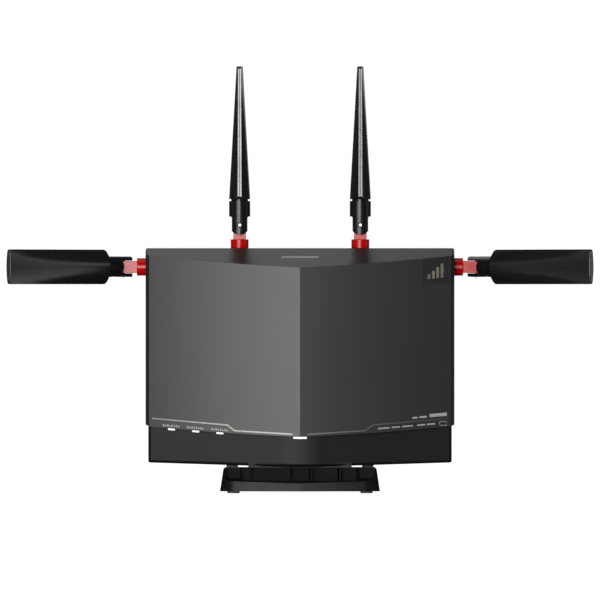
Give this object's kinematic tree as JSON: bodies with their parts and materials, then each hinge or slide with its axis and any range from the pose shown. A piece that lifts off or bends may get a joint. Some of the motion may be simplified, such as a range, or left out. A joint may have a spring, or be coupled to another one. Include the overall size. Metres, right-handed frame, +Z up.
{
  "type": "wireless router",
  "caption": "Desktop wireless router with a folded grey front, red swivel hinges, jointed blade antennas on top and sides, and a low stand.",
  "frame": {"origin": "on the desk, at the middle of the footprint with the antennas included", "axes": "+Z up, front faces -Y, +X to the viewer's right"},
  "size_m": [0.5392, 0.1332, 0.394],
  "materials": {
    "cover_grey": "satin, very fine spark texture",
    "housing_black": "matt, fine texture",
    "skirt_black": "satin, fine texture",
    "plate_grey": "matt",
    "stand_black": "matt, fine texture",
    "antenna_black": "satin",
    "swivel_red": "gloss",
    "badge_gloss": "gloss",
    "trim_silver": "satin metallic print",
    "light_white": "milky clear, lit",
    "button_grey": "satin",
    "switch_black": "matt",
    "pad_rubber": "matt",
    "lead_black": "satin jacket",
    "board_green": "solder mask",
    "pin_steel": "blackened hollow rivet",
    "screw_steel": "zinc plated",
    "shield_steel": "tinned sheet",
    "socket_steel": "nickel plated sheet",
    "sink_aluminium": "extruded",
    "contact_brass": "gold plated"
  },
  "bodies": {
    "router": {"front_cover": "cover_grey", "rear_housing": "housing_black", "top_panel": "housing_black", "lower_skirt": "skirt_black", "port_plate": "plate_grey", "case_screws": "screw_steel", "trim_lines": "trim_silver", "badge_plate": "badge_gloss", "stand_base": "stand_black", "stand_pads": "pad_rubber", "swivel_retainers": "screw_steel", "main_board": "board_green", "board_screws": "screw_steel", "rf_shields": "shield_steel", "thermal_pads": "pad_rubber", "heat_sink": "sink_aluminium", "status_leds": "light_white", "light_guides": "light_white", "lan_sockets": "socket_steel", "wan_socket": "socket_steel", "usb_socket": "socket_steel", "dc_inlet": "switch_black", "push_switches": "switch_black", "slide_switches": "switch_black", "line_transformers": "switch_black", "capacitors": "sink_aluminium", "lead_plugs": "contact_brass", "antenna_leads": "lead_black"},
    "top_left_swivel": {"top_left_swivel_post": "swivel_red"},
    "top_left_antenna": {"top_left_hinge_pin": "pin_steel", "top_left_knuckle": "antenna_black", "top_left_outer_shell": "antenna_black", "top_left_inner_shell": "antenna_black", "top_left_element": "board_green"},
    "top_right_swivel": {"top_right_swivel_post": "swivel_red"},
    "top_right_antenna": {"top_right_hinge_pin": "pin_steel", "top_right_knuckle": "antenna_black", "top_right_outer_shell": "antenna_black", "top_right_inner_shell": "antenna_black", "top_right_element": "board_green"},
    "side_left_swivel": {"side_left_swivel_post": "swivel_red"},
    "side_left_antenna": {"side_left_hinge_pin": "pin_steel", "side_left_knuckle": "antenna_black", "side_left_outer_shell": "antenna_black", "side_left_inner_shell": "antenna_black", "side_left_element": "board_green"},
    "side_right_swivel": {"side_right_swivel_post": "swivel_red"},
    "side_right_antenna": {"side_right_hinge_pin": "pin_steel", "side_right_knuckle": "antenna_black", "side_right_outer_shell": "antenna_black", "side_right_inner_shell": "antenna_black", "side_right_element": "board_green"},
    "power_button": {"power_button": "button_grey"},
    "setup_button": {"setup_button": "button_grey"},
    "reset_button": {"reset_button": "button_grey"},
    "mode_knob": {"mode_knob": "button_grey"},
    "auto_knob": {"auto_knob": "button_grey"}
  },
  "joints": [
    {"name": "top_left_swivel_turn", "type": "hinge", "parent": "router", "child": "top_left_swivel", "pos_m": [-0.0558, 0.045, 0.2474], "axis": [0, 0, 1], "range_deg": [-90, 90]},
    {"name": "top_left_fold", "type": "hinge", "parent": "top_left_swivel", "child": "top_left_antenna", "pos_m": [-0.0558, 0.045, 0.2474], "axis": [0, -1, 0], "range_deg": [0, 90]},
    {"name": "top_right_swivel_turn", "type": "hinge", "parent": "router", "child": "top_right_swivel", "pos_m": [0.0558, 0.045, 0.2474], "axis": [0, 0, 1], "range_deg": [-90, 90]},
    {"name": "top_right_fold", "type": "hinge", "parent": "top_right_swivel", "child": "top_right_antenna", "pos_m": [0.0558, 0.045, 0.2474], "axis": [0, 1, 0], "range_deg": [0, 90]},
    {"name": "side_left_swivel_turn", "type": "hinge", "parent": "router", "child": "side_left_swivel", "pos_m": [-0.1639, 0.039, 0.2086], "axis": [-1, 0, 0], "range_deg": [-90, 90]},
    {"name": "side_left_fold", "type": "hinge", "parent": "side_left_swivel", "child": "side_left_antenna", "pos_m": [-0.1639, 0.039, 0.2086], "axis": [0, 0, 1], "range_deg": [-45, 45]},
    {"name": "side_right_swivel_turn", "type": "hinge", "parent": "router", "child": "side_right_swivel", "pos_m": [0.1639, 0.039, 0.2086], "axis": [-1, 0, 0], "range_deg": [-90, 90]},
    {"name": "side_right_fold", "type": "hinge", "parent": "side_right_swivel", "child": "side_right_antenna", "pos_m": [0.1639, 0.039, 0.2086], "axis": [0, 0, -1], "range_deg": [-45, 45]},
    {"name": "power_button_press", "type": "slide", "parent": "router", "child": "power_button", "axis": [0, -1, 0], "range_m": [0, 0.002], "stiffness_N_per_m": 900, "springref_m": -0.0005},
    {"name": "setup_button_press", "type": "slide", "parent": "router", "child": "setup_button", "axis": [0, -1, 0], "range_m": [0, 0.0008], "stiffness_N_per_m": 1500, "springref_m": -0.0005},
    {"name": "reset_button_press", "type": "slide", "parent": "router", "child": "reset_button", "axis": [0, -1, 0], "range_m": [0, 0.0006], "stiffness_N_per_m": 1500, "springref_m": -0.0005},
    {"name": "mode_knob_slide", "type": "slide", "parent": "router", "child": "mode_knob", "axis": [1, 0, 0], "range_m": [0, 0.004]},
    {"name": "auto_knob_slide", "type": "slide", "parent": "router", "child": "auto_knob", "axis": [1, 0, 0], "range_m": [0, 0.002]}
  ]
}
